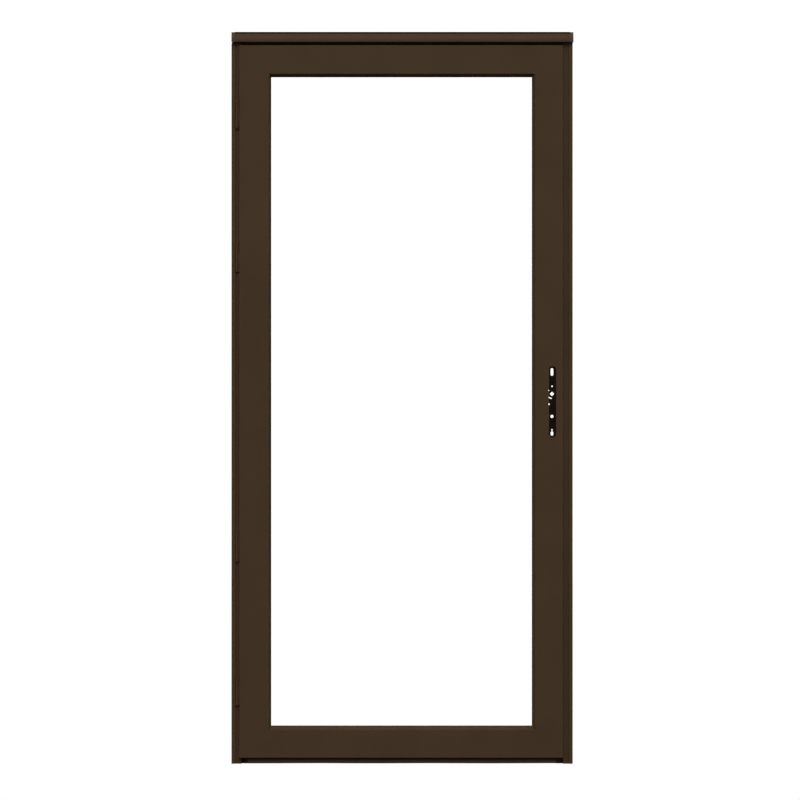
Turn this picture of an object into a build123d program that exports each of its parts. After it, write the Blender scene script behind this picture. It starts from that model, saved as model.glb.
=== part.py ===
"""A full-view storm door hung in its own outside frame, hinged on the left seen from outside.

Millimetres. X runs to the right seen from outside, Y into the house and Z up. The origin lies on
the back of the hinge-side flange, in the middle of the strip that bears on the casing, at its foot.
"""
from build123d import *
import math
import os

os.makedirs("parts", exist_ok=True)

# The frame: two upright Z-shaped bars and the header with its drip cap
frame_width = 965.0          # outer edge to outer edge of the two flanges
clear_height = 2037.7        # foot of the bars to the underside of the header
bar_wall = 1.6
flange_seat = 26.4           # strip of each flange that bears on the casing
nose_width = 11.0            # raised hollow bead along each outer edge
nose_height = 6.5
web_reach = 32.0             # how far each bar reaches into the opening
stop_length = 19.0           # rear leg that carries the weatherstrip
edge_round = 1.0
groove_offset = 17.8         # sealant groove in the latch bar, from its outer edge
groove_width = 1.8
groove_depth = 0.8
screw_hole_r = 2.5
screw_hole_depth = 14.0      # from the flange's back to the row of screw holes
screw_rises = (150.0, 750.0)     # above the foot of the bars
screw_drops = (687.7, 87.7)      # below the clear height
header_screw_spacing = 500.0

# The header
flange_height = 32.3         # header flange above the clear height
cap_drop = 4.0               # bottom edge of the cap above the clear height
cap_height = 22.8
cap_reach = 21.0             # how far the cap stands off the casing at its foot
cap_upright = 9.3            # height of the cap's upright lower part
cap_tilt = 23.0              # lean of its upper part, in degrees
cap_round = 16.0
cap_wall = 1.4
nib_reach = 6.0
nib_height = 3.0
header_stop_drop = 18.5
header_inset = 1.4           # header short of the hinge bar's outer edge, under its end cap
header_overhang = 0.7        # header past the latch bar's outer edge
end_cap_thickness = 1.4
end_cap_grip = 7.9           # how far an end cap reaches over the header
end_cap_wall = 1.2
nib_setback = 0.1            # from an end cap to the nib along the header's top edge

# The leaf
leaf_front = 17.0            # face of the leaf in front of the casing
leaf_thickness = 41.0
leaf_wall = 1.6
leaf_foot = 17.0             # leaf's lower edge above the foot of the bars
head_gap = 5.8
hinge_gap = 7.0              # web to the body of the leaf
latch_gap = 6.5
lip_thickness = 5.5
hinge_lip = 14.3             # lip in front of the hinge-side gap
latch_lip = 7.4              # lip in front of the latch-side gap, past the web's face
hinge_edge_round = 5.0
face_round = 1.2
hinge_stile_face = 91.7      # lip edge to clear glass
latch_stile_face = 88.4
top_rail_face = 90.3
bottom_rail_face = 91.1
hinge_ledge = 6.6            # width of the sloped ledge along each side of the glass
latch_ledge = 9.4
top_ledge = 9.4
bottom_ledge = 12.7
ledge_depth = 12.0
stop_flange = 1.5            # straight edge behind the slope
glass_rebate = 10.0

# The glazing
glass_thickness = 4.0
glass_inset = 2.0            # glass edge short of the rebate
gasket_thickness = 1.5
gasket_width = 6.0
retainer_depth = 14.0
retainer_wall = 1.6
seat_gap = 0.3

# The bottom expander and its sweep
expander_inset = 18.7        # from each web to the end of the expander
expander_front = 4.0         # in front of the casing
expander_back = 20.0         # behind the casing
expander_wall = 1.6
expander_foot = 6.5
expander_top = 40.0
sweep_base = 1.5
sweep_foot = 1.0
fin_thickness = 1.2
fin_count = 3

# The weatherstrip
strip_width = 8.0
strip_base = 1.5
strip_offset = 7.0           # from the web to the strip
bulb_shoulder = 1.0          # base showing on each side of the bulb

# The hinges
hinge_rises = (188.0, 595.0)     # centres above the leaf's foot
hinge_drops = (600.9, 195.9)     # centres below the leaf's top
hinge_length = 79.0
pin_offset = 15.2            # from the outer edge of the hinge-side bar
pin_depth = 10.0             # in front of the casing
pin_r = 1.5
pin_clearance = 0.05
barrel_r = 3.5
plate_thickness = 2.0
neck_width = 4.0
knuckle_gap = 0.3
frame_plate_reach = 26.0     # from the outer edge of the bar
leaf_plate_start = 4.5       # from the pin to the full-height plate
leaf_plate_depth = 19.5      # side flange, along the leaf's edge
notch_depth = 3.0            # cut into the lip beside each hinge, filled by a rib
notch_margin = 4.0           # left open above and below the rib
rib_clearance = 0.2

# The lock in the latch stile, with its heights measured from the centre of the slot
lock_height = 1024.0
slot_backset = 22.6          # from the leaf's edge to the slot
slot_width = 20.0
slot_length = 201.0
hole_backset = 24.0
case_front = 8.0             # in front of the casing
case_depth = 22.0
case_width = 43.0
case_head = 9.15             # case above the handle's post slot
case_foot = 7.9              # case below the cylinder's opening
faceplate_thickness = 1.6
faceplate_width = 20.0
faceplate_length = 240.0
faceplate_centre = 6.5       # behind the casing
bolt_thickness = 9.0
bolt_height = 14.0
bolt_clearance = 0.3
bolt_tail_gap = 3.0          # from the hub to the bolts
window_margin = 1.5          # round each bolt where it enters the strike
latch_bolt_rise = 22.0
dead_bolt_rise = -39.0
hub_rise = 22.0
hub_r = 9.0
hub_clearance = 0.05
hub_set_in = 0.4
socket_width = 9.3           # square, standing on one corner
socket_round = 1.5
post_slot_rise = 84.1
post_slot_width = 8.0
post_slot_length = 21.5
post_hole_rise = -41.6
post_hole_r = 4.45
cylinder_rise = -90.1
cylinder_slot_width = 7.8
cylinder_slot_length = 12.0
key_top_rise = -79.0         # round top of the cylinder's opening
key_top_r = 2.1
key_neck_width = 2.4
clip_holes = ((0.2, 43.6, 2.35), (-9.2, 31.8, 1.5), (-8.3, -7.1, 2.35))  # across, up, radius
arc_r = 12.7                 # curved slot under the hub
arc_width = 3.0
arc_ends = (8.0, 42.0)       # degrees from straight down, away from the leaf's edge
strike_thickness = 1.5
strike_width = 24.0
strike_start = 1.0

# Places worked out from the sizes above
frame_left = -flange_seat / 2
frame_right = frame_left + frame_width
web_left = frame_left + flange_seat + bar_wall
web_right = frame_right - flange_seat - bar_wall
leaf_left = web_left + hinge_gap
leaf_right = web_right - latch_gap
leaf_top = clear_height - head_gap
leaf_back = leaf_thickness - leaf_front
lip_left = leaf_left - hinge_lip
lip_right = leaf_right + latch_lip
lip_back = -leaf_front + lip_thickness
glass_left = lip_left + hinge_stile_face
glass_right = lip_right - latch_stile_face
glass_top = leaf_top - top_rail_face
glass_bottom = leaf_foot + bottom_rail_face
ledge_left = glass_left - hinge_ledge
ledge_right = glass_right + latch_ledge
ledge_top = glass_top + top_ledge
ledge_bottom = glass_bottom - bottom_ledge
ledge_back = -leaf_front + ledge_depth
stop_back = ledge_back + stop_flange
glass_front = stop_back + gasket_thickness
glass_back = glass_front + glass_thickness
pin_x = frame_left + pin_offset
middle_x = (frame_left + frame_right) / 2
header_left = frame_left + header_inset
header_right = frame_right + header_overhang
flange_top = clear_height + flange_height
cap_top = clear_height + cap_drop + cap_height
end_cap_top = flange_top - end_cap_wall
screw_heights = list(screw_rises) + [clear_height - drop for drop in screw_drops]
hinge_heights = [leaf_foot + rise for rise in hinge_rises] + [leaf_top - drop for drop in hinge_drops]
hole_x = leaf_right - hole_backset
slot_x = leaf_right - slot_backset
hub_height = lock_height + hub_rise
bolt_heights = (lock_height + latch_bolt_rise, lock_height + dead_bolt_rise)
case_top = lock_height + post_slot_rise + post_slot_length / 2 + case_head
case_bottom = lock_height + cylinder_rise - cylinder_slot_length / 2 - case_foot
expander_left = web_left + expander_inset
expander_right = web_right - expander_inset
strike_length = faceplate_length
overcut = 1.0                # how far a cut runs past the faces that it opens


def block(x, y, z):
    """A block between the given pairs of limits."""
    size = Box(x[1] - x[0], y[1] - y[0], z[1] - z[0])
    return Pos((x[0] + x[1]) / 2, (y[0] + y[1]) / 2, (z[0] + z[1]) / 2) * size


def outline(points, rounds=()):
    """A closed flat section. Each round gives a corner's two coordinates and its radius."""
    face = make_face(Polyline(*points, close=True))
    for x, y, radius in rounds:
        corner = face.vertices().sort_by_distance((x, y, 0))[0]
        face = fillet(corner, radius)
    return face


def upright(section, low, high):
    """A section in X and Y drawn up between two heights."""
    return Pos(0, 0, low) * extrude(section, high - low)


def crossbar(section, left, right):
    """A section in Y and Z drawn sideways between two places."""
    return extrude(Plane.YZ.offset(left) * section, right - left)


def plate(points, front, back):
    """An outline in X and Z given its thickness along Y."""
    face = make_face(Polyline(*[(x, -z) for x, z in points], close=True))
    turned = Plane((0, front, 0), x_dir=(1, 0, 0), z_dir=(0, 1, 0)) * face
    return extrude(turned, back - front)


def rod(radius, x, z, front, back):
    """A round bar along Y."""
    return Pos(x, (front + back) / 2, z) * Rot(90, 0, 0) * Cylinder(radius, back - front)


def side_hole(radius, y, z, left, right):
    """A round hole along X."""
    return Pos((left + right) / 2, y, z) * Rot(0, 90, 0) * Cylinder(radius, right - left)


def obround(width, length, x, z, front, back):
    """An upright slot with round ends, cut along Y."""
    half = (length - width) / 2
    middle = block((x - width / 2, x + width / 2), (front, back), (z - half, z + half))
    return middle + rod(width / 2, x, z - half, front, back) + rod(width / 2, x, z + half, front, back)


def bar_section():
    """Section of an upright bar, with its outer edge at X = 0 and the house behind it."""
    inner = flange_seat + bar_wall
    points = [
        (0, 0), (flange_seat, 0), (flange_seat, web_reach), (inner + stop_length, web_reach),
        (inner + stop_length, web_reach - bar_wall), (inner, web_reach - bar_wall),
        (inner, -bar_wall), (nose_width, -bar_wall), (nose_width, -nose_height), (0, -nose_height),
    ]
    corners = [(0, -nose_height), (nose_width, -nose_height), (inner, -bar_wall)]
    section = outline(points, [(x, y, edge_round) for x, y in corners])
    hollow = outline([
        (bar_wall, -bar_wall), (nose_width - bar_wall, -bar_wall),
        (nose_width - bar_wall, bar_wall - nose_height), (bar_wall, bar_wall - nose_height),
    ])
    return section - hollow


def web_holes(left, right):
    """The row of screw holes through an upright bar's web."""
    return [side_hole(screw_hole_r, screw_hole_depth, z, left, right) for z in screw_heights]


def hinge_z_bar():
    bar = upright(Pos(frame_left, 0) * bar_section(), 0, clear_height)
    return bar - web_holes(web_left - 2 * bar_wall, web_left + bar_wall)


def bolt_windows(left, right):
    """Openings for the latch bolt and the dead bolt, through the strike and the web."""
    windows = []
    grow = bolt_height / 2 + window_margin
    reach = bolt_thickness / 2 + window_margin
    for height in bolt_heights:
        windows.append(block(
            (left, right),
            (faceplate_centre - reach, faceplate_centre + reach),
            (height - grow, height + grow),
        ))
    return windows


def latch_z_bar():
    bar = upright(mirror(Pos(-frame_right, 0) * bar_section(), Plane.YZ), 0, clear_height)
    groove_x = frame_right - groove_offset
    groove = block(
        (groove_x - groove_width / 2, groove_x + groove_width / 2),
        (-2 * bar_wall, groove_depth - bar_wall), (-overcut, clear_height + overcut),
    )
    bar -= groove
    bar -= web_holes(web_right - bar_wall, web_right + 2 * bar_wall)
    return bar - bolt_windows(web_right - overcut, web_right + 2 * bar_wall)


def cap_outline(inset, back, top):
    """Outline of the drip cap in Y and Z, with its face and foot moved inwards by a wall."""
    low = clear_height + cap_drop + inset
    foot = inset - cap_reach
    tilt = math.radians(cap_tilt)
    shoulder = clear_height + cap_drop + cap_upright - inset * math.tan(tilt / 2)
    brow = foot + (top - shoulder) * math.tan(tilt)
    points = [(back, low), (foot, low), (foot, shoulder), (brow, top), (back, top)]
    return outline(points, [(foot, shoulder, cap_round - inset)])


def header_drip_cap():
    nib_foot = flange_top - nib_height
    flange = outline([(-bar_wall, clear_height), (0, clear_height), (0, nib_foot), (-bar_wall, nib_foot)])
    hollow = cap_outline(cap_wall, -bar_wall, cap_top - cap_wall)
    header = crossbar(flange + cap_outline(0, 0, cap_top) - hollow, header_left, header_right)
    header += block((web_left - bar_wall, web_right + bar_wall), (-bar_wall, web_reach),
                    (clear_height, clear_height + bar_wall))
    setback = end_cap_grip + nib_setback
    header += block((header_left + setback, header_right - setback), (-nib_reach, 0), (nib_foot, flange_top))
    for side in (-1, 1):
        hole = Pos(middle_x + side * header_screw_spacing / 2, screw_hole_depth, clear_height)
        header -= hole * Cylinder(screw_hole_r, 6 * bar_wall)
    return header


def header_stop():
    """Flat leg under the rear edge of the header, which carries its weatherstrip."""
    inset = stop_length + seat_gap
    return block((web_left + inset, web_right - inset), (web_reach - bar_wall, web_reach),
                 (clear_height - header_stop_drop, clear_height))


def header_end_cap(edge, outwards):
    """Sleeve over one end of the header, closed at its outer end."""
    limits = sorted((edge + outwards * end_cap_thickness, edge - outwards * end_cap_grip))
    sleeve = crossbar(cap_outline(-end_cap_wall, 0, end_cap_top), *limits)
    inside = block(sorted((edge, edge - outwards * 2 * end_cap_grip)), (-bar_wall, overcut),
                   (clear_height, flange_top - nib_height))
    inside += crossbar(cap_outline(0, 0, cap_top), *sorted((edge, edge - outwards * 2 * end_cap_grip)))
    return sleeve - inside


def upright_strip(x, facing):
    """Weatherstrip on an upright stop: a flat base with a rounded bulb towards the leaf."""
    base_y = web_reach - bar_wall
    tip = leaf_back + seat_gap
    strip = block((x, x + facing * strip_width) if facing > 0 else (x - strip_width, x),
                  (base_y - strip_base, base_y), (0, clear_height))
    middle = x + facing * strip_width / 2
    radius = strip_width / 2 - bulb_shoulder
    bulb = block((middle - radius, middle + radius), (tip + radius, base_y), (0, clear_height))
    bulb += Pos(middle, tip + radius, clear_height / 2) * Cylinder(radius, clear_height)
    return strip + bulb


def header_weatherstrip():
    base_y = web_reach - bar_wall
    tip = leaf_back + seat_gap
    radius = strip_width / 2 - bulb_shoulder
    middle = clear_height - strip_offset - strip_width / 2
    left = web_left + strip_offset + strip_width + seat_gap
    right = web_right - strip_offset - strip_width - seat_gap
    left = max(left, web_left + stop_length + seat_gap)
    right = min(right, web_right - stop_length - seat_gap)
    base = block((left, right), (base_y - strip_base, base_y),
                 (middle - strip_width / 2, middle + strip_width / 2))
    bulb = block((left, right), (tip + radius, base_y), (middle - radius, middle + radius))
    bulb += Pos((left + right) / 2, tip + radius, middle) * Rot(0, 90, 0) * Cylinder(radius, right - left)
    return base + bulb


def strike_plate():
    back = web_right
    strike = block((back - strike_thickness, back), (-strike_start, strike_width - strike_start),
                   (lock_height - strike_length / 2, lock_height + strike_length / 2))
    return strike - bolt_windows(back - 2 * strike_thickness, back + overcut)


def lip_section():
    """Section of the leaf's face in X and Y, from the hinge lip to the latch lip."""
    front = -leaf_front
    points = [(lip_left, front), (lip_right, front), (lip_right, lip_back), (lip_left, lip_back)]
    return outline(points, [(lip_left, front, hinge_edge_round), (lip_right, front, face_round)])


def opening_outline(left, right, bottom, top, y):
    """A rectangle in X and Z at a place along Y."""
    centre = Plane(((left + right) / 2, y, (bottom + top) / 2), x_dir=(1, 0, 0), z_dir=(0, 1, 0))
    return centre * Rectangle(right - left, top - bottom)


def leaf_blank():
    """The whole leaf before it is split at its mitred corners, with the glass opening cut."""
    lip = upright(lip_section(), leaf_foot, leaf_top)
    level = [e for e in lip.edges() if e.bounding_box().size.Z < face_round]
    front = [e for e in level if e.center().Y < -leaf_front + hinge_edge_round / 2]
    blank = fillet(front, face_round)
    blank += block((leaf_left, leaf_right), (lip_back, leaf_back), (leaf_foot, leaf_top))
    blank -= block((glass_left, glass_right), (-leaf_front - overcut, leaf_back + overcut),
                   (glass_bottom, glass_top))
    slope = loft([
        opening_outline(ledge_left, ledge_right, ledge_bottom, ledge_top, -leaf_front),
        opening_outline(glass_left, glass_right, glass_bottom, glass_top, ledge_back),
    ])
    blank -= slope
    rebate = block(
        (glass_left - glass_rebate, glass_right + glass_rebate), (stop_back, leaf_back + overcut),
        (glass_bottom - glass_rebate, glass_top + glass_rebate),
    )
    return blank - rebate


def hollow_section(body, ledge, mirrored=False):
    """Hollow of one member: X from its outer edge towards the glass, Y through the leaf."""
    face_edge = body - ledge
    lean = ledge / ledge_depth
    set_back = leaf_wall * math.hypot(1, lean)
    front = -leaf_front + leaf_wall
    shelf = stop_back - leaf_wall
    points = [
        (leaf_wall, front),
        (face_edge + leaf_wall * lean - set_back, front),
        (face_edge + (shelf + leaf_front) * lean - set_back, shelf),
        (body - glass_rebate - leaf_wall, shelf),
        (body - glass_rebate - leaf_wall, leaf_back - leaf_wall),
        (leaf_wall, leaf_back - leaf_wall),
    ]
    return [(-x, y) for x, y in points] if mirrored else points


def member_region(side):
    """The region that one member fills: its mitres run through the corners of the ledge."""
    outer = [(leaf_left, leaf_foot), (leaf_right, leaf_foot), (leaf_right, leaf_top), (leaf_left, leaf_top)]
    face = [
        (ledge_left, ledge_bottom), (ledge_right, ledge_bottom),
        (ledge_right, ledge_top), (ledge_left, ledge_top),
    ]
    inner = [
        (glass_left, glass_bottom), (glass_right, glass_bottom),
        (glass_right, glass_top), (glass_left, glass_top),
    ]
    far = hinge_lip + latch_lip
    first, second = {"bottom": (0, 1), "latch": (1, 2), "top": (2, 3), "hinge": (3, 0)}[side]
    points = [outer[first], face[first], inner[first], inner[second], face[second], outer[second]]
    if side == "hinge":
        points += [(leaf_left - far, leaf_foot), (leaf_left - far, leaf_top)]
    if side == "latch":
        points += [(leaf_right + far, leaf_top), (leaf_right + far, leaf_foot)]
    return plate(points, -2 * leaf_front, 2 * leaf_back)


def hinge_stile(blank):
    section = outline(hollow_section(glass_left - leaf_left, hinge_ledge))
    stile = blank & member_region("hinge")
    stile -= upright(Pos(leaf_left, 0) * section, leaf_foot - overcut, leaf_top + overcut)
    for height in hinge_heights:
        half = hinge_length / 2 + notch_margin
        stile -= block((lip_left - overcut, lip_left + notch_depth), (-leaf_front - overcut, lip_back),
                       (height - half, height + half))
    return stile


def arc_slot(front, back):
    """The curved slot under the hub, cut along Y."""
    start, end = (math.radians(angle) for angle in arc_ends)
    far = 2 * arc_r
    wedge = plate([
        (hole_x, hub_height),
        (hole_x - far * math.sin(start), hub_height - far * math.cos(start)),
        (hole_x - far * math.sin(end), hub_height - far * math.cos(end)),
    ], front, back)
    ring = rod(arc_r + arc_width / 2, hole_x, hub_height, front, back)
    ring -= rod(arc_r - arc_width / 2, hole_x, hub_height, front, back)
    slot = ring & wedge
    for angle in (start, end):
        slot += rod(arc_width / 2, hole_x - arc_r * math.sin(angle), hub_height - arc_r * math.cos(angle),
                    front, back)
    return slot


def clip_openings(front, back):
    """The small holes and the curved slot, which pass through the case and both skins of the stile."""
    holes = arc_slot(front, back)
    for shift, rise, radius in clip_holes:
        holes += rod(radius, hole_x + shift, lock_height + rise, front, back)
    return holes


def latch_stile(blank):
    section = outline(hollow_section(leaf_right - glass_right, latch_ledge, True))
    stile = blank & member_region("latch")
    stile -= upright(Pos(leaf_right, 0) * section, leaf_foot - overcut, leaf_top + overcut)
    through = (-leaf_front - overcut, leaf_back + overcut)
    stile -= obround(slot_width, slot_length, slot_x, lock_height, *through)
    stile -= clip_openings(*through)
    half = faceplate_length / 2
    stile -= block((leaf_right - 2 * leaf_wall, leaf_right + overcut),
                   (faceplate_centre - faceplate_width / 2, faceplate_centre + faceplate_width / 2),
                   (lock_height - half, lock_height + half))
    return stile


def top_rail(blank):
    section = [(y, leaf_top - n) for n, y in hollow_section(top_rail_face, top_ledge)]
    rail = blank & member_region("top")
    return rail - crossbar(outline(section), leaf_left - overcut, leaf_right + overcut)


def bottom_rail(blank):
    section = [(y, leaf_foot + n) for n, y in hollow_section(bottom_rail_face, bottom_ledge)]
    rail = blank & member_region("bottom")
    rail -= crossbar(outline(section), leaf_left - overcut, leaf_right + overcut)
    return rail - block((expander_left - seat_gap, expander_right + seat_gap),
                        (-expander_front - seat_gap, expander_back + seat_gap),
                        (leaf_foot - overcut, leaf_foot + 2 * leaf_wall))


def glass_pane():
    reach = glass_rebate - glass_inset
    return block((glass_left - reach, glass_right + reach), (glass_front, glass_back),
                 (glass_bottom - reach, glass_top + reach))


def glass_gasket():
    def ring(grow):
        return block((glass_left - grow, glass_right + grow), (stop_back, glass_front),
                     (glass_bottom - grow, glass_top + grow))
    return ring(gasket_width) - ring(0)


def retainer_section():
    """Angle section: one wall against the glass and one against the rebate, from the rebate inwards."""
    return [
        (0, glass_back), (glass_rebate, glass_back), (glass_rebate, glass_back + retainer_wall),
        (retainer_wall, glass_back + retainer_depth), (0, glass_back + retainer_depth),
    ]


def glass_retainer(side):
    left = glass_left - glass_rebate
    right = glass_right + glass_rebate
    low = glass_bottom - glass_rebate
    high = glass_top + glass_rebate
    section = retainer_section()
    if side == "hinge_side":
        return upright(outline([(left + n, y) for n, y in section]), low, high)
    if side == "latch_side":
        return upright(outline([(right - n, y) for n, y in section]), low, high)
    if side == "top":
        return crossbar(outline([(y, high - n) for n, y in section]), glass_left, glass_right)
    return crossbar(outline([(y, low + n) for n, y in section]), glass_left, glass_right)


def bottom_expander():
    section = outline([
        (-expander_front, expander_foot), (expander_back, expander_foot),
        (expander_back, expander_top), (expander_back - expander_wall, expander_top),
        (expander_back - expander_wall, expander_foot + expander_wall),
        (expander_wall - expander_front, expander_foot + expander_wall),
        (expander_wall - expander_front, expander_top), (-expander_front, expander_top),
    ])
    return crossbar(section, expander_left, expander_right)


def bottom_sweep():
    ends = (expander_left, expander_right)
    sweep = block(ends, (-expander_front, expander_back), (expander_foot - sweep_base, expander_foot))
    pitch = (expander_front + expander_back - fin_thickness) / (fin_count - 1)
    for number in range(fin_count):
        front = -expander_front + number * pitch
        sweep += block(ends, (front, front + fin_thickness), (sweep_foot, expander_foot))
    return sweep


def knuckles(height):
    """Heights of the lower, middle and upper knuckle of a hinge."""
    low = height - hinge_length / 2
    share = (hinge_length - 2 * knuckle_gap) / 3
    return [(low + n * (share + knuckle_gap), low + n * (share + knuckle_gap) + share) for n in range(3)]


def hinge_bore(height):
    return Pos(pin_x, -pin_depth, height) * Cylinder(pin_r + pin_clearance, 2 * hinge_length)


def hinge_frame_leaf(height):
    floor = -bar_wall
    low = height - hinge_length / 2
    leaf = block((pin_x - neck_width / 2, frame_left + frame_plate_reach),
                 (floor - plate_thickness, floor), (low, low + hinge_length))
    for start, end in (knuckles(height)[0], knuckles(height)[2]):
        leaf += block((pin_x - neck_width / 2, pin_x + neck_width / 2), (-pin_depth, floor), (start, end))
        leaf += Pos(pin_x, -pin_depth, (start + end) / 2) * Cylinder(barrel_r, end - start)
    return leaf - hinge_bore(height)


def hinge_pin(height):
    return Pos(pin_x, -pin_depth, height) * Cylinder(pin_r, hinge_length)


def hinge_leaf_plate(height):
    """Plate behind the lip and along the leaf's edge, with a rib level with the lip's face."""
    low = height - hinge_length / 2
    span = (low, low + hinge_length)
    layer = (lip_back, lip_back + plate_thickness)
    leaf = block((pin_x + leaf_plate_start, leaf_left), layer, span)
    leaf += block((leaf_left - plate_thickness, leaf_left), (lip_back, lip_back + leaf_plate_depth), span)
    rib = block((lip_left, lip_left + notch_depth - rib_clearance), (-leaf_front, lip_back), span)
    leaf += upright(lip_section(), *span) & rib
    start, end = knuckles(height)[1]
    leaf += block((pin_x, pin_x + leaf_plate_start + plate_thickness), layer, (start, end))
    leaf += Pos(pin_x, -pin_depth, (start + end) / 2) * Cylinder(barrel_r, end - start)
    return leaf - hinge_bore(height)


def lock_case():
    front = -case_front
    back = front + case_depth
    right = leaf_right - faceplate_thickness
    case = block((right - case_width, right), (front, back),
                 (case_bottom, case_top))
    through = (front - overcut, back + overcut)
    case -= rod(hub_r + hub_clearance, hole_x, hub_height, *through)
    case -= obround(post_slot_width, post_slot_length, hole_x, lock_height + post_slot_rise, *through)
    case -= rod(post_hole_r, hole_x, lock_height + post_hole_rise, *through)
    case -= obround(cylinder_slot_width, cylinder_slot_length, hole_x, lock_height + cylinder_rise, *through)
    case -= rod(key_top_r, hole_x, lock_height + key_top_rise, *through)
    case -= block((hole_x - key_neck_width / 2, hole_x + key_neck_width / 2), through,
                  (lock_height + cylinder_rise, lock_height + key_top_rise))
    case -= clip_openings(*through)
    for height in bolt_heights:
        case -= bolt_body(height, bolt_clearance)
    return case


def bolt_body(height, grow=0.0):
    """A bolt drawn back until its end is level with the faceplate, or the space round it."""
    right = leaf_right if grow == 0 else leaf_right + overcut
    short = hole_x + hub_r + bolt_tail_gap
    return block((short - grow, right),
                 (faceplate_centre - bolt_thickness / 2 - grow, faceplate_centre + bolt_thickness / 2 + grow),
                 (height - bolt_height / 2 - grow, height + bolt_height / 2 + grow))


def lock_faceplate():
    half = faceplate_length / 2
    face = block((leaf_right - faceplate_thickness, leaf_right),
                 (faceplate_centre - faceplate_width / 2, faceplate_centre + faceplate_width / 2),
                 (lock_height - half, lock_height + half))
    for height in bolt_heights:
        face -= bolt_body(height, bolt_clearance)
    return face


def spindle_hub():
    """Round hub with a square socket that stands on one corner."""
    front = -case_front + hub_set_in
    back = case_depth - case_front - hub_set_in
    square = extrude(fillet(Rectangle(socket_width, socket_width).vertices(), socket_round),
                     back - front + 2 * overcut)
    socket = Pos(hole_x, back + overcut, hub_height) * Rot(90, 0, 0) * Rot(0, 0, 45) * square
    return rod(hub_r, hole_x, hub_height, front, back) - socket


def build():
    blank = leaf_blank()
    parts = {
        "hinge_z_bar": hinge_z_bar(),
        "latch_z_bar": latch_z_bar(),
        "header_drip_cap": header_drip_cap(),
        "header_stop": header_stop(),
        "header_end_cap_left": header_end_cap(header_left, -1),
        "header_end_cap_right": header_end_cap(header_right, 1),
        "hinge_weatherstrip": upright_strip(web_left + strip_offset, 1),
        "latch_weatherstrip": upright_strip(web_right - strip_offset, -1),
        "header_weatherstrip": header_weatherstrip(),
        "strike_plate": strike_plate(),
        "hinge_stile": hinge_stile(blank),
        "latch_stile": latch_stile(blank),
        "top_rail": top_rail(blank),
        "bottom_rail": bottom_rail(blank),
        "glass_pane": glass_pane(),
        "glass_gasket": glass_gasket(),
        "bottom_expander": bottom_expander(),
        "bottom_sweep": bottom_sweep(),
        "lock_case": lock_case(),
        "lock_faceplate": lock_faceplate(),
        "latch_bolt": bolt_body(bolt_heights[0]),
        "dead_bolt": bolt_body(bolt_heights[1]),
        "spindle_hub": spindle_hub(),
    }
    for side in ("hinge_side", "latch_side", "top", "bottom"):
        parts["glass_retainer_" + side] = glass_retainer(side)
    for number, height in enumerate(hinge_heights, 1):
        parts[f"hinge_{number}_frame_leaf"] = hinge_frame_leaf(height)
        parts[f"hinge_{number}_pin"] = hinge_pin(height)
        parts[f"hinge_{number}_leaf_plate"] = hinge_leaf_plate(height)
    return parts


for name, shape in build().items():
    export_step(shape, f"parts/{name}.step")
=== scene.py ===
import math

import bmesh
import bpy
from mathutils import Matrix, Vector


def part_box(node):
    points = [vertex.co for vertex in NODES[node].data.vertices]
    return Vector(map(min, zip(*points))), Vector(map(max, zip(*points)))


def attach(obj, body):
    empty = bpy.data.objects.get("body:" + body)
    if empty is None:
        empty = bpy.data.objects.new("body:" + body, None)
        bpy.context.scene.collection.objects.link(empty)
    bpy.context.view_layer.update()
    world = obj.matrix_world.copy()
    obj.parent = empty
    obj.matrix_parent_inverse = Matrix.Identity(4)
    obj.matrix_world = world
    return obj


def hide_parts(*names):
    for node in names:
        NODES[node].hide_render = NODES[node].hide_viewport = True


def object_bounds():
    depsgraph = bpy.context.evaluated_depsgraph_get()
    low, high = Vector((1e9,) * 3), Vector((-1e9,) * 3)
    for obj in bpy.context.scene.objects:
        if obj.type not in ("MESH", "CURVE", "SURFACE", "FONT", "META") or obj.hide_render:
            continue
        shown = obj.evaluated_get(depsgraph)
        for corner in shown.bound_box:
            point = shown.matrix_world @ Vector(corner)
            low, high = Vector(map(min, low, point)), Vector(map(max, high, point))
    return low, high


bl_info = {
    "name": "Full-view Storm Door",
    "version": (1, 0, 0),
    "blender": (4, 5, 0),
    "location": "View3D > Sidebar > Storm Door",
    "description": "Finishes, fastenings and studio for a full-view storm door in its own frame",
    "category": "Object",
}

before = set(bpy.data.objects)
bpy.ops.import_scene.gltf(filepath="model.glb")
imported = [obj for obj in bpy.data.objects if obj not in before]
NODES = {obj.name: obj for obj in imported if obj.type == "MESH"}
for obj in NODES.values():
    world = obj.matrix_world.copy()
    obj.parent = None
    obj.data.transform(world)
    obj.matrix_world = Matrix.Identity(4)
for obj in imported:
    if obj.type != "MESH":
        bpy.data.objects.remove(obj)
CAD_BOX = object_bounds()

# The frame's nodes, by what they are made of

FRAME_BARS = ("hinge_z_bar", "latch_z_bar", "header_drip_cap", "header_stop")
END_CAPS = ("header_end_cap_left", "header_end_cap_right")
LEAF_MEMBERS = ("hinge_stile", "latch_stile", "top_rail", "bottom_rail", "bottom_expander")
BEADS = (
    "glass_retainer_hinge_side",
    "glass_retainer_latch_side",
    "glass_retainer_top",
    "glass_retainer_bottom",
)
UPRIGHT_SEALS = ("hinge_weatherstrip", "latch_weatherstrip")
LEVEL_SEALS = ("header_weatherstrip", "glass_gasket")
PLATED = ("strike_plate", "lock_faceplate", "latch_bolt", "dead_bolt")
BLACKED = ("lock_case", "spindle_hub")
HINGES = sorted(
    name.removesuffix("_pin") for name in NODES if name.startswith("hinge_") and name.endswith("_pin"))

# Fixed sizes of the fastenings in metres, the flats round a head, and a share of the pin's radius.
# Vertices within WELD become one, and the rivets' line is level with the seat of the frame

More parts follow.
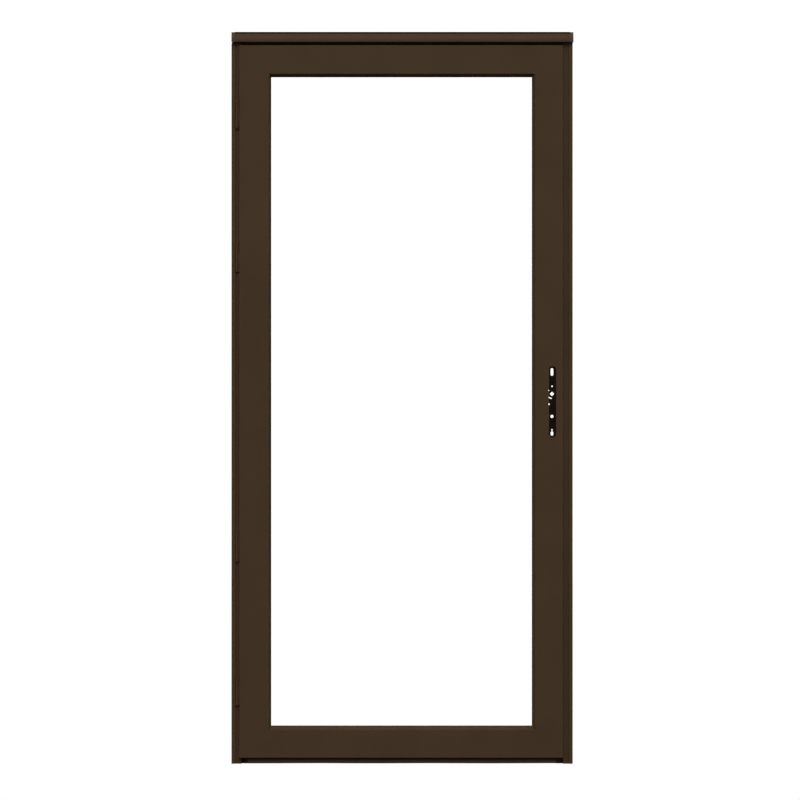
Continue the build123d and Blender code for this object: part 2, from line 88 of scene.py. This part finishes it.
MM = 0.001
WELD = 0.001 * MM
HEAD_FLATS = 24
HEAD_SUNK = 0.2 * MM
PLATE_HEAD_HEIGHT = 0.35 * MM
PLATE_HEAD_SUNK = 0.3 * MM
HINGE_SHEET = 2.0 * MM
RIVET_LINE_Y = 0.0
PIN_HEAD_SHARE = 1.6
PIN_HEAD_HEIGHT = 1.0 * MM
SEALANT_GRIP = 0.05 * MM

# The sweep. Its waves are in radians per metre: about 200, 90 and 330 mm from crest to crest

SWEEP_BASE = 1.5 * MM
FIN_WALL = 1.1 * MM
SLOW_WAVE = 31
QUICK_WAVE = 73
QUICK_SHARE = 0.6
LIFT_WAVE = 19
FIN_PHASE = 2.1

# The studio. Through the glass it is a little over white, so that the tint still leaves it white,
# and the sky fades in over a narrow band at the horizon

OVER_WHITE = 1.1
SKY_FADE = 0.05
FLOOR_REACH = 30.0
FLOOR_GAP = 1.0 * MM
VIEW_DEPTH = 200.0

# The vinyl that two steps use, and the levels between which nearly all of a noise lies

LEVEL_VINYL = "flexible PVC, extruded level"
NOISE_LOW, NOISE_HIGH = 0.3, 0.7


def linear(hex_code):
    """Linear light from an sRGB hex colour."""
    channels = [int(hex_code[i:i + 2], 16) / 255 for i in (0, 2, 4)]
    return tuple(c / 12.92 if c <= 0.04045 else ((c + 0.055) / 1.055) ** 2.4 for c in channels)


# Sizes and colours that a user would change


class StormDoorFinish(bpy.types.PropertyGroup):
    """Colours and surface sizes of the door's finishes."""

    coat: bpy.props.FloatVectorProperty(
        name="Powder coat", description="Colour of the coated aluminium",
        subtype="COLOR", size=3, min=0.0, max=1.0, default=linear("3E2F20"))
    end_cap: bpy.props.FloatVectorProperty(
        name="End caps", description="Colour of the moulded caps on the header",
        subtype="COLOR", size=3, min=0.0, max=1.0, default=linear("443528"))
    vinyl: bpy.props.FloatVectorProperty(
        name="Vinyl", description="Colour of the weatherstrips, gasket and sweep",
        subtype="COLOR", size=3, min=0.0, max=1.0, default=linear("241C15"))
    case: bpy.props.FloatVectorProperty(
        name="Lock case", description="Colour of the black steel lock case",
        subtype="COLOR", size=3, min=0.0, max=1.0, default=linear("140C07"))
    zinc: bpy.props.FloatVectorProperty(
        name="Zinc plate", description="Colour of the plated steel",
        subtype="COLOR", size=3, min=0.0, max=1.0, default=linear("B9B7B0"))
    glass: bpy.props.FloatVectorProperty(
        name="Glass", description="Tint of the glass",
        subtype="COLOR", size=3, min=0.0, max=1.0, default=linear("FBFEFC"))
    peel: bpy.props.FloatProperty(
        name="Orange peel", description="Width of one swell in the powder coat",
        unit="LENGTH", min=0.0003, max=0.02, default=2.4 * MM)


class StormDoorHardware(bpy.types.PropertyGroup):
    """Sizes of the fastenings and the sweep."""

    hinge_screw_radius: bpy.props.FloatProperty(
        name="Hinge screw head", description="Radius of the screw heads on the hinges",
        unit="LENGTH", min=0.001, max=0.005, default=2.7 * MM)
    hinge_screw_height: bpy.props.FloatProperty(
        name="Hinge screw height", description="How far the hinge screw heads stand up",
        unit="LENGTH", min=0.0003, max=0.003, default=0.9 * MM)
    hinge_screw_pitch: bpy.props.FloatProperty(
        name="Hinge screw spacing", description="Distance between the screws of one hinge",
        unit="LENGTH", min=0.01, max=0.04, default=27.0 * MM)
    plate_screw_radius: bpy.props.FloatProperty(
        name="Plate screw head", description="Radius of the screw heads on the strike and the faceplate",
        unit="LENGTH", min=0.001, max=0.006, default=3.6 * MM)
    plate_screw_inset: bpy.props.FloatProperty(
        name="Plate screw inset", description="From the end of a plate to its screw",
        unit="LENGTH", min=0.005, max=0.03, default=9.0 * MM)
    fin_wave: bpy.props.FloatProperty(
        name="Fin wave", description="How far the sweep's fins wander from straight",
        unit="LENGTH", min=0.0, max=0.003, default=0.5 * MM)


class StormDoorStage(bpy.types.PropertyGroup):
    """Camera and lights."""

    camera_distance: bpy.props.FloatProperty(
        name="Camera distance", description="From the camera to the door",
        unit="LENGTH", min=2.0, max=60.0, default=28.0)
    picture_width: bpy.props.FloatProperty(
        name="Picture width", description="Width of what the camera sees at the door",
        unit="LENGTH", min=1.0, max=10.0, default=2.263)
    look_x: bpy.props.FloatProperty(
        name="Look at X", description="Middle of the picture, sideways",
        unit="LENGTH", default=463.4 * MM)
    look_z: bpy.props.FloatProperty(
        name="Look at Z", description="Middle of the picture, upwards",
        unit="LENGTH", default=1028.8 * MM)
    light_distance: bpy.props.FloatProperty(
        name="Light distance", description="From each light to the middle of the picture",
        unit="LENGTH", min=5.0, max=100.0, default=28.0)
    light_size: bpy.props.FloatProperty(
        name="Light size", description="Width of each round light",
        unit="LENGTH", min=0.1, max=50.0, default=14.0)
    key_height: bpy.props.FloatProperty(
        name="Key elevation", description="Angle of the key light above the floor",
        subtype="ANGLE", min=0.0, max=1.5, default=math.radians(35.0))
    fill_height: bpy.props.FloatProperty(
        name="Fill elevation", description="Angle of the fill light above the floor",
        subtype="ANGLE", min=-1.0, max=1.5, default=math.radians(4.0))
    key_power: bpy.props.FloatProperty(
        name="Key power", description="Power of the key light in watts",
        min=0.0, max=100000.0, default=5000.0)
    sky: bpy.props.FloatProperty(
        name="Sky", description="Brightness of the soft light from above",
        min=0.0, max=5.0, default=0.30)


# Materials


def node(tree, kind, inputs=None, stops=(), **settings):
    """Adds one node with its settings, and a ramp's stops of position and colour.

    An input takes a value, an output of another node, or a node for its first output.
    """
    made = tree.nodes.new("ShaderNode" + kind)
    for name, value in settings.items():
        setattr(made, name, value)
    for number, (position, colour) in enumerate(stops):
        made.color_ramp.elements[number].position = position
        made.color_ramp.elements[number].color = colour
    for name, value in (inputs or {}).items():
        source = value.outputs[0] if isinstance(value, bpy.types.Node) else value
        if isinstance(source, bpy.types.NodeSocket):
            tree.links.new(source, made.inputs[name])
        else:
            made.inputs[name].default_value = source
    return made


def new_material(name):
    """An empty material and its node tree."""
    material = bpy.data.materials.new(name)
    material.use_nodes = True
    material.node_tree.nodes.clear()
    return material, material.node_tree


def swell(size):
    """The scale at which a noise's swells are about this many metres across."""
    return 0.5 / size


def add_surface(tree, colour, shades, mottle, texture, roughness, relief, ends=(0.35, 0.65),
                specular=0.5, metallic=0.0):
    """Ends a material with its shader.

    The colour drifts between two shades of itself as the mottle goes from one end to the other. The
    roughness, from and to, and the relief, a depth in metres, follow the texture.
    """
    tone = node(tree, "ValToRGB", {"Fac": mottle}, stops=[
        (end, tuple(c * shade for c in colour) + (1.0,)) for end, shade in zip(ends, shades)])
    dullness = node(tree, "MapRange", {"Value": texture, "From Min": NOISE_LOW, "From Max": NOISE_HIGH,
                                       "To Min": roughness[0], "To Max": roughness[1]})
    bump = node(tree, "Bump", {"Height": texture, "Distance": relief})
    skin = node(tree, "BsdfPrincipled", {
        "Base Color": tone, "Roughness": dullness, "Normal": bump,
        "Specular IOR Level": specular, "Metallic": metallic})
    node(tree, "OutputMaterial", {"Surface": skin})


def powder_coated(finish, name, shade=1.0):
    """Metal under baked polyester powder: an even satin brown with faint orange peel.

    The real peel's swells are 1 to 3 mm wide and a few hundredths of a millimetre deep. They are
    drawn deeper so that they show, and their tops are painted lighter: a painted highlight on each swell.
    The powder's own grain is under 0.1 mm, and its specks are drawn 0.5 mm wide. A slow cloud of 90 mm
    stands for the spray's uneven thickness.
    """
    material, tree = new_material(name)
    spot = node(tree, "TexCoord").outputs["Object"]
    cloud = node(tree, "TexNoise", {"Vector": spot, "Scale": swell(90 * MM), "Detail": 3.0})
    peel = node(tree, "TexNoise", {"Vector": spot, "Scale": swell(finish.peel), "Detail": 1.0})
    speck = node(tree, "TexNoise", {"Vector": spot, "Scale": swell(0.5 * MM), "Detail": 1.0})
    # The colour follows the peel's height as well as the specks and the cloud, so each swell's top is a
    # painted highlight
    mottle = node(tree, "Math", {0: peel, 1: speck, 2: cloud}, operation="MULTIPLY_ADD")
    add_surface(tree, finish.coat, (0.92 * shade, 1.08 * shade), mottle, peel,
                roughness=(0.48, 0.6), relief=0.09 * MM, ends=(0.5, 1.0), specular=0.05)
    return material


def moulded_abs(finish):
    """Injection-moulded ABS, spark-eroded: a fine even grain, a little duller than the coat.

    The real grain is about 0.1 mm wide. It is drawn 0.9 mm wide so that it shows.
    """
    material, tree = new_material("moulded ABS, fine spark grain")
    spot = node(tree, "TexCoord").outputs["Object"]
    fine = node(tree, "TexNoise", {"Vector": spot, "Scale": swell(0.9 * MM), "Detail": 3.0})
    add_surface(tree, finish.end_cap, (0.96, 1.04), fine, fine,
                roughness=(0.58, 0.68), relief=0.02 * MM, specular=0.08)
    return material


def extruded_vinyl(finish, name, stretch):
    """Flexible PVC drawn through a die: matt and nearly black, with faint lines along its length.

    Real die lines are a few tenths of a millimetre apart, and are drawn 1.2 mm apart to show.
    """
    material, tree = new_material(name)
    spot = node(tree, "TexCoord").outputs["Object"]
    drawn = node(tree, "Mapping", {"Vector": spot, "Scale": stretch})
    lines = node(tree, "TexNoise", {"Vector": drawn, "Scale": swell(1.2 * MM)})
    cloud = node(tree, "TexNoise", {"Vector": spot, "Scale": swell(40 * MM)})
    add_surface(tree, finish.vinyl, (0.85, 1.2), cloud, lines,
                roughness=(0.55, 0.72), relief=0.03 * MM, specular=0.25)
    return material


def blacked_steel(finish):
    """Pressed steel with a black electrophoretic coat: smooth, low sheen, slightly uneven.

    The coat's own fine texture is about 0.3 mm wide. It is drawn 0.8 mm wide so that it shows.
    """
    material, tree = new_material("pressed steel, black dip coated")
    spot = node(tree, "TexCoord").outputs["Object"]
    cloud = node(tree, "TexNoise", {"Vector": spot, "Scale": swell(12 * MM), "Detail": 3.0})
    fine = node(tree, "TexNoise", {"Vector": spot, "Scale": swell(0.8 * MM)})
    add_surface(tree, finish.case, (0.8, 1.2), cloud, fine,
                roughness=(0.42, 0.55), relief=0.01 * MM, specular=0.03)
    return material


def silicone_sealant(finish):
    """Dark silicone pressed into a joint and wiped: smooth, with long swells 1.5 mm wide."""
    material, tree = new_material("silicone sealant, pressed in and wiped")
    spot = node(tree, "TexCoord").outputs["Object"]
    wiped = node(tree, "Mapping", {"Vector": spot, "Scale": (1.0, 1.0, 0.3)})
    drag = node(tree, "TexNoise", {"Vector": wiped, "Scale": swell(1.5 * MM)})
    add_surface(tree, finish.vinyl, (0.8, 1.1), drag, drag,
                roughness=(0.35, 0.5), relief=0.02 * MM, specular=0.1)
    return material


def zinc_plated_steel(finish):
    """Rolled steel with bright zinc: fine rolling lines along its length under a soft bloom.

    Real rolling lines are about 0.1 mm apart. They are drawn 0.5 mm apart so that they show.
    """
    material, tree = new_material("rolled steel, bright zinc plated")
    spot = node(tree, "TexCoord").outputs["Object"]
    rolled = node(tree, "Mapping", {"Vector": spot, "Scale": (1.0, 1.0, 0.03)})
    lines = node(tree, "TexNoise", {"Vector": rolled, "Scale": swell(0.5 * MM), "Detail": 3.0})
    bloom = node(tree, "TexNoise", {"Vector": spot, "Scale": swell(9 * MM), "Detail": 4.0})
    add_surface(tree, finish.zinc, (0.88, 1.0), bloom, lines,
                roughness=(0.38, 0.5), relief=0.004 * MM, metallic=1.0)
    return material


def float_glass(finish):
    """Tempered float glass: clear with a trace of green, and flat but for a very slight roller wave.

    The wave is drawn as wide as a real one, about 220 mm.
    """
    material, tree = new_material("tempered float glass, clear")
    spot = node(tree, "TexCoord").outputs["Object"]
    rolled = node(tree, "Mapping", {"Vector": spot, "Scale": (0.2, 1.0, 1.0)})
    wave = node(tree, "TexNoise", {"Vector": rolled, "Scale": swell(220 * MM), "Detail": 0.0})
    polish = node(tree, "MapRange", {"Value": wave, "From Min": NOISE_LOW, "From Max": NOISE_HIGH,
                                     "To Min": 0.0, "To Max": 0.01})
    bump = node(tree, "Bump", {"Height": wave, "Distance": 0.05 * MM, "Strength": 0.3})
    pane = node(tree, "BsdfPrincipled", {
        "Base Color": (*finish.glass, 1.0), "Roughness": polish, "Normal": bump,
        "Transmission Weight": 1.0, "IOR": 1.5})
    node(tree, "OutputMaterial", {"Surface": pane})
    return material


# Making pieces


def paint(names, material):
    """Gives CAD nodes a material in place of their own."""
    for name in names:
        slots = NODES[name].data.materials
        slots.clear()
        slots.append(material)


def make_piece(name, mesh, material, body):
    """Turns a bmesh into a piece that rides on a body, with its place in its mesh."""
    bmesh.ops.remove_doubles(mesh, verts=mesh.verts, dist=WELD)
    bmesh.ops.recalc_face_normals(mesh, faces=mesh.faces)
    data = bpy.data.meshes.new(name)
    mesh.to_mesh(data)
    mesh.free()
    data.materials.append(material)
    piece = bpy.data.objects.new(name, data)
    bpy.context.scene.collection.objects.link(piece)
    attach(piece, body)
    return piece


def facing(at, direction):
    """A placement that turns local Z to a direction."""
    return Matrix.Translation(at) @ Vector(direction).to_track_quat("Z", "Y").to_matrix().to_4x4()


def lathe(profile):
    """A shape turned about Z from (radius, height) points, left open where an end is off the axis."""
    mesh = bmesh.new()
    points = [mesh.verts.new((radius, 0, height)) for radius, height in profile]
    edges = [mesh.edges.new(pair) for pair in zip(points, points[1:])]
    bmesh.ops.spin(mesh, geom=points + edges, axis=(0, 0, 1), cent=(0, 0, 0), steps=HEAD_FLATS,
                   angle=2 * math.pi, use_merge=True)
    bmesh.ops.remove_doubles(mesh, verts=mesh.verts, dist=WELD)
    return mesh


def round_head(radius, height, placement):
    """A low domed head that starts a little below its seat."""
    dome = []
    for angle in (25, 45, 65, 80):
        turn = math.radians(angle)
        dome.append((radius * math.cos(turn), height * math.sin(turn)))
    mesh = lathe([(0, -HEAD_SUNK), (radius, -HEAD_SUNK), (radius, 0), *dome, (0, height)])
    bmesh.ops.transform(mesh, matrix=placement, verts=mesh.verts)
    return mesh


def cross_head(radius, height, sunk, placement):
    """A screw head with a cross recess: a domed rim, and a flat top round a cross-shaped well.

    The rim, the arms of the cross and the well are shares of the head's radius and height.
    """
    rim = 0.72 * radius
    reach = 0.66 * rim
    arm = 0.17 * rim
    well_depth = 0.6 * height
    floor_share = 0.8
    shoulder = ((radius, 0.35 * height), (0.9 * radius, 0.78 * height))
    mesh = lathe([(radius, -sunk), *shoulder, (rim, height)])
    open_edges = [e for e in mesh.edges if e.is_boundary]
    top = [e for e in open_edges if e.verts[0].co.z > 0]
    bmesh.ops.holes_fill(mesh, edges=[e for e in open_edges if e.verts[0].co.z < 0])
    cross = bmesh.ops.create_circle(mesh, segments=12, radius=reach)["verts"]
    cross.sort(key=lambda vert: math.atan2(vert.co.y, vert.co.x))
    for number, vert in enumerate(cross):
        quarter = Matrix.Rotation(math.radians(90 * (number // 3)), 4, "Z")
        corner = ((reach, -arm), (reach, arm), (arm, arm))[number % 3]
        vert.co = quarter @ Vector((*corner, height))
    ring = [e for e in mesh.edges if all(v in cross for v in e.verts)]
    bmesh.ops.triangle_fill(mesh, edges=top + ring, use_beauty=True, normal=(0, 0, 1))
    well = bmesh.ops.extrude_edge_only(mesh, edges=ring)["geom"]
    floor = [v for v in well if isinstance(v, bmesh.types.BMVert)]
    bmesh.ops.translate(mesh, verts=floor, vec=(0, 0, -well_depth))
    bmesh.ops.scale(mesh, verts=floor, vec=(floor_share, floor_share, 1.0))
    bmesh.ops.holes_fill(mesh, edges=[e for e in well if isinstance(e, bmesh.types.BMEdge)])
    bmesh.ops.transform(mesh, matrix=placement, verts=mesh.verts)
    return mesh


def joined(meshes):
    """One bmesh from several."""
    whole = bmesh.new()
    for mesh in meshes:
        data = bpy.data.meshes.new("part")
        mesh.to_mesh(data)
        mesh.free()
        whole.from_mesh(data)
        bpy.data.meshes.remove(data)
    return whole


def wavy_fin(number, side, length, drop, wander):
    """One soft fin of the sweep, flat as a sheet, with its middle near the origin.

    It is straight along its top edge and wanders and lifts more towards its foot. The side is 1, or
    -1 for a fin that waves the other way.
    """
    fin = bmesh.new()
    upright = Matrix.Rotation(math.radians(90), 4, "X")
    bmesh.ops.create_grid(fin, x_segments=120, y_segments=4, size=0.5, matrix=upright)
    bmesh.ops.scale(fin, verts=fin.verts, vec=(length, 1.0, drop))
    for vert in fin.verts:
        along = vert.co.x
        hang = 0.5 - vert.co.z / drop
        slow = math.sin(along * SLOW_WAVE + number * FIN_PHASE)
        quick = math.sin(along * QUICK_WAVE + number)
        lift = 1 + math.sin(along * LIFT_WAVE + number)
        vert.co.y += side * wander / 2 * hang * hang * (slow + QUICK_SHARE * quick)
        vert.co.z += wander / 2 * hang * lift
    return fin


# The studio


def seen_direct(tree):
    """White for the camera, a little over white through the glass, and 0 for light on a surface."""
    path = node(tree, "LightPath")
    through = node(tree, "Math", {0: path.outputs["Is Transmission Ray"], 1: OVER_WHITE,
                                  2: path.outputs["Is Camera Ray"]}, operation="MULTIPLY_ADD")
    bounces = node(tree, "Math", {0: path.outputs["Diffuse Depth"], 1: path.outputs["Glossy Depth"]},
                   operation="ADD")
    first = node(tree, "Math", {0: bounces, 1: 0.5}, operation="LESS_THAN")
    return node(tree, "Math", {0: through, 1: first}, operation="MULTIPLY")


def add_world(scene, stage):
    """White where the camera looks, a soft sky all round in a sheen, and else only overhead."""
    world = bpy.data.worlds.new("studio")
    world.use_nodes = True
    scene.world = world
    tree = world.node_tree
    tree.nodes.clear()
    up = node(tree, "SeparateXYZ", {0: node(tree, "TexCoord").outputs["Generated"]})
    above = node(tree, "MapRange", {"Value": up.outputs["Z"], "From Min": -SKY_FADE, "From Max": SKY_FADE})
    mirrored = node(tree, "Math", {0: above, 1: node(tree, "LightPath").outputs["Is Glossy Ray"]},
                    operation="MAXIMUM")
    sky = node(tree, "Math", {0: mirrored, 1: stage.sky, 2: seen_direct(tree)}, operation="MULTIPLY_ADD")
    level = node(tree, "Math", {0: sky, 1: OVER_WHITE}, operation="MINIMUM")
    glow = node(tree, "Background", {"Color": (1, 1, 1, 1), "Strength": level})
    node(tree, "OutputWorld", {"Surface": glow})


def add_floor(scene):
    """A near-white floor just under the door, which throws no light up and takes no shadow."""
    mesh = bmesh.new()
    bmesh.ops.create_grid(mesh, x_segments=1, y_segments=1, size=FLOOR_REACH)
    bmesh.ops.translate(mesh, verts=mesh.verts, vec=(0, 0, CAD_BOX[0][2] - FLOOR_GAP))
    data = bpy.data.meshes.new("floor")
    mesh.to_mesh(data)
    mesh.free()
    material, tree = new_material("white studio floor")
    glow = node(tree, "Emission", {"Color": (1, 1, 1, 1), "Strength": seen_direct(tree)})
    node(tree, "OutputMaterial", {"Surface": glow})
    data.materials.append(material)
    floor = bpy.data.objects.new("floor", data)
    floor.visible_diffuse = False
    floor.visible_glossy = False
    floor.visible_shadow = False
    scene.collection.objects.link(floor)


def add_light(scene, stage, name, centre, azimuth, elevation, share):
    """A round light that faces the door. The azimuth is 0 in front and grows to the right."""
    data = bpy.data.lights.new(name, "AREA")
    data.shape = "DISK"
    data.size = stage.light_size
    data.energy = share * stage.key_power
    light = bpy.data.objects.new(name, data)
    away = Vector((math.sin(azimuth) * math.cos(elevation), -math.cos(azimuth) * math.cos(elevation),
                   math.sin(elevation)))
    light.location = centre + away * stage.light_distance
    light.rotation_mode = "QUATERNION"
    light.rotation_quaternion = away.to_track_quat("Z", "Y")
    light.visible_camera = False
    light.visible_transmission = False
    scene.collection.objects.link(light)


def add_camera(scene, stage, centre):
    """A long lens straight in front of the door, as in the photograph."""
    data = bpy.data.cameras.new("camera")
    data.sensor_width = 36.0
    data.lens = data.sensor_width * stage.camera_distance / stage.picture_width
    data.clip_end = VIEW_DEPTH
    camera = bpy.data.objects.new("camera", data)
    camera.location = centre + Vector((0, -stage.camera_distance, 0))
    camera.rotation_euler = (math.radians(90), 0, 0)
    scene.collection.objects.link(camera)
    scene.camera = camera


# Operators


class STORMDOOR_OT_coat_members(bpy.types.Operator):
    """Coats the frame, the leaf's members and the glazing beads, and finishes the end caps"""
    bl_idname = "stormdoor.coat_members"
    bl_label = "Coat the Members"

    def execute(self, context):
        finish = context.scene.storm_door_finish
        coat = powder_coated(finish, "powder coated aluminium, sprayed and baked satin")
        paint(FRAME_BARS + LEAF_MEMBERS + BEADS, coat)
        paint(END_CAPS, moulded_abs(finish))
        return {"FINISHED"}


class STORMDOOR_OT_glaze(bpy.types.Operator):
    """Gives the pane its glass, and the seals their vinyl"""
    bl_idname = "stormdoor.glaze"
    bl_label = "Glaze and Seal"

    def execute(self, context):
        finish = context.scene.storm_door_finish
        paint(["glass_pane"], float_glass(finish))
        paint(UPRIGHT_SEALS, extruded_vinyl(finish, "flexible PVC, extruded upright", (1.0, 1.0, 0.02)))
        paint(LEVEL_SEALS, extruded_vinyl(finish, LEVEL_VINYL, (0.02, 1.0, 1.0)))
        return {"FINISHED"}


class STORMDOOR_OT_seal_corners(bpy.types.Operator):
    """Presses a bead of sealant into the joint at each end of the header's stop"""
    bl_idname = "stormdoor.seal_corners"
    bl_label = "Seal the Corners"

    def execute(self, context):
        low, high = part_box("header_stop")
        left_bar_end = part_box("hinge_z_bar")[1][0]
        right_bar_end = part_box("latch_z_bar")[0][0]
        beads = []
        for low_x, high_x in ((left_bar_end, low[0]), (high[0], right_bar_end)):
            # Each bead bites into its neighbours, and stops short of the joint's faces
            half_width = (high_x - low_x) / 2 + SEALANT_GRIP
            half_depth = (high[1] - low[1]) / 2 - SEALANT_GRIP
            bead = bmesh.new()
            bmesh.ops.create_cone(bead, cap_ends=True, segments=16, radius1=1.0, radius2=1.0, depth=1.0)
            bmesh.ops.scale(bead, verts=bead.verts, vec=(half_width, half_depth, high[2] - low[2]))
            bmesh.ops.translate(bead, verts=bead.verts, vec=(
                (low_x + high_x) / 2, (low[1] + high[1]) / 2, (low[2] + high[2]) / 2))
            beads.append(bead)
        sealant = silicone_sealant(context.scene.storm_door_finish)
        make_piece("corner_sealant", joined(beads), sealant, "door_frame")
        return {"FINISHED"}


class STORMDOOR_OT_plate_lock(bpy.types.Operator):
    """Finishes the lock, and screws on its faceplate and the strike"""
    bl_idname = "stormdoor.plate_lock"
    bl_label = "Plate the Lock"

    def execute(self, context):
        finish = context.scene.storm_door_finish
        sizes = context.scene.storm_door_hardware
        zinc = zinc_plated_steel(finish)
        paint(PLATED, zinc)
        paint(BLACKED, blacked_steel(finish))
        for plate, body, outwards in (
            ("strike_plate", "door_frame", -1),
            ("lock_faceplate", "door_leaf", 1),
        ):
            low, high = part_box(plate)
            face_x = high[0] if outwards > 0 else low[0]
            heads = [
                cross_head(sizes.plate_screw_radius, PLATE_HEAD_HEIGHT, PLATE_HEAD_SUNK,
                           facing((face_x, (low[1] + high[1]) / 2, z), (outwards, 0, 0)))
                for z in (low[2] + sizes.plate_screw_inset, high[2] - sizes.plate_screw_inset)
            ]
            make_piece(plate + "_screws", joined(heads), zinc, body)
        return {"FINISHED"}


class STORMDOOR_OT_fasten_hinges(bpy.types.Operator):
    """Coats the hinges, and adds their screws, rivets and pin heads"""
    bl_idname = "stormdoor.fasten_hinges"
    bl_label = "Fasten the Hinges"

    def execute(self, context):
        finish = context.scene.storm_door_finish
        sizes = context.scene.storm_door_hardware
        radius, height = sizes.hinge_screw_radius, sizes.hinge_screw_height
        coat = powder_coated(finish, "powder coated steel, sprayed and baked satin")
        head_coat = powder_coated(finish, "powder coated screw heads", 0.9)
        for hinge in HINGES:
            paint([hinge + "_frame_leaf", hinge + "_leaf_plate", hinge + "_pin"], coat)
            low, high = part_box(hinge + "_pin")
            centre = (low + high) / 2
            rows = [centre[2] + shift for shift in (-sizes.hinge_screw_pitch, 0.0, sizes.hinge_screw_pitch)]
            # The screws stand in the middle of what the knuckles leave of the frame's plate
            plate_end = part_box(hinge + "_frame_leaf")[1]
            screw_x = (high[0] + HINGE_SHEET + plate_end[0]) / 2
            screw_y = plate_end[1] - HINGE_SHEET
            rivet_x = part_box(hinge + "_leaf_plate")[1][0] - HINGE_SHEET
            screws = [
                cross_head(radius, height, HEAD_SUNK, facing((screw_x, screw_y, z), (0, -1, 0)))
                for z in rows
            ]
            rivets = [
                round_head(radius, height, facing((rivet_x, RIVET_LINE_Y, z), (-1, 0, 0)))
                for z in rows
            ]
            pin_heads = [
                round_head((high[0] - low[0]) / 2 * PIN_HEAD_SHARE, PIN_HEAD_HEIGHT,
                           facing((centre[0], centre[1], z), (0, 0, up)))
                for z, up in ((low[2], -1), (high[2], 1))
            ]
            for name, heads, body in (
                ("_frame_screws", screws, "door_frame"),
                ("_leaf_rivets", rivets, "door_leaf"),
                ("_pin_heads", pin_heads, "door_frame"),
            ):
                make_piece(hinge + name, joined(heads), head_coat, body)
        return {"FINISHED"}


class STORMDOOR_OT_hang_sweep(bpy.types.Operator):
    """Makes the sweep under the bottom expander, with three soft wavy fins"""
    bl_idname = "stormdoor.hang_sweep"
    bl_label = "Hang the Sweep"

    def execute(self, context):
        wander = context.scene.storm_door_hardware.fin_wave
        low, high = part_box("bottom_sweep")
        middle = (low + high) / 2
        length = high[0] - low[0]
        drop = high[2] - SWEEP_BASE / 2 - low[2]
        mesh = bmesh.new()
        base = bmesh.ops.create_cube(mesh, size=1.0)["verts"]
        bmesh.ops.scale(mesh, verts=base, vec=(length, high[1] - low[1], SWEEP_BASE))
        bmesh.ops.translate(mesh, verts=base, vec=(middle[0], middle[1], high[2] - SWEEP_BASE / 2))
        places = ((low[1] + FIN_WALL / 2, 1), (middle[1], 1), (high[1] - FIN_WALL / 2, -1))
        for number, (y, side) in enumerate(places):
            fin = wavy_fin(number, side, length, drop, wander)
            bmesh.ops.translate(fin, verts=fin.verts, vec=(middle[0], y, low[2] + drop / 2))
            bmesh.ops.solidify(fin, geom=fin.faces[:], thickness=FIN_WALL / 2)
            mesh = joined([mesh, fin])
        sweep = make_piece("sweep_fins", mesh, bpy.data.materials[LEVEL_VINYL], "door_leaf")
        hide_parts("bottom_sweep")
        return {"FINISHED"}


class STORMDOOR_OT_set_stage(bpy.types.Operator):
    """Adds the pale floor, the studio light and the camera"""
    bl_idname = "stormdoor.set_stage"
    bl_label = "Set the Stage"

    def execute(self, context):
        scene = context.scene
        stage = scene.storm_door_stage
        scene.view_settings.view_transform = "Standard"
        centre = Vector((stage.look_x, 0, stage.look_z))
        add_world(scene, stage)
        add_floor(scene)
        # Name, degrees round the door, height and share of the key's power
        high, low = stage.key_height, stage.fill_height
        for name, around, height, share in (
            ("key", 0, high, 1.0), ("left key", -45, high, 0.3), ("right key", 45, high, 0.3),
            ("fill", 0, low, 0.15), ("left side", -90, high, 0.4), ("right side", 90, high, 0.4),
            ("back", 180, high, 0.9), ("left back", -135, high, 0.6), ("right back", 135, high, 0.6),
        ):
            add_light(scene, stage, name, centre, math.radians(around), height, share)
        add_camera(scene, stage, centre)
        return {"FINISHED"}


STEPS = (
    STORMDOOR_OT_coat_members,
    STORMDOOR_OT_glaze,
    STORMDOOR_OT_seal_corners,
    STORMDOOR_OT_plate_lock,
    STORMDOOR_OT_fasten_hinges,
    STORMDOOR_OT_hang_sweep,
    STORMDOOR_OT_set_stage,
)
GROUPS = {
    "storm_door_finish": StormDoorFinish,
    "storm_door_hardware": StormDoorHardware,
    "storm_door_stage": StormDoorStage,
}


class STORMDOOR_PT_panel(bpy.types.Panel):
    """Lists the door's sizes, colours and steps"""
    bl_idname = "STORMDOOR_PT_panel"
    bl_label = "Storm Door"
    bl_space_type = "VIEW_3D"
    bl_region_type = "UI"
    bl_category = "Storm Door"

    def draw(self, context):
        for group in GROUPS:
            settings = getattr(context.scene, group)
            for name in settings.bl_rna.properties.keys():
                if name not in ("rna_type", "name"):
                    self.layout.prop(settings, name)
        for step in STEPS:
            self.layout.operator(step.bl_idname)


CLASSES = (*GROUPS.values(), *STEPS, STORMDOOR_PT_panel)


def register():
    for cls in CLASSES:
        bpy.utils.register_class(cls)
    for name, group in GROUPS.items():
        setattr(bpy.types.Scene, name, bpy.props.PointerProperty(type=group))


def unregister():
    for name in GROUPS:
        delattr(bpy.types.Scene, name)
    for cls in reversed(CLASSES):
        bpy.utils.unregister_class(cls)


def main():
    """Dresses the frame step by step."""
    register()
    for step in STEPS:
        family, name = step.bl_idname.split(".")
        getattr(getattr(bpy.ops, family), name)()


if __name__ == "__main__":
    main()
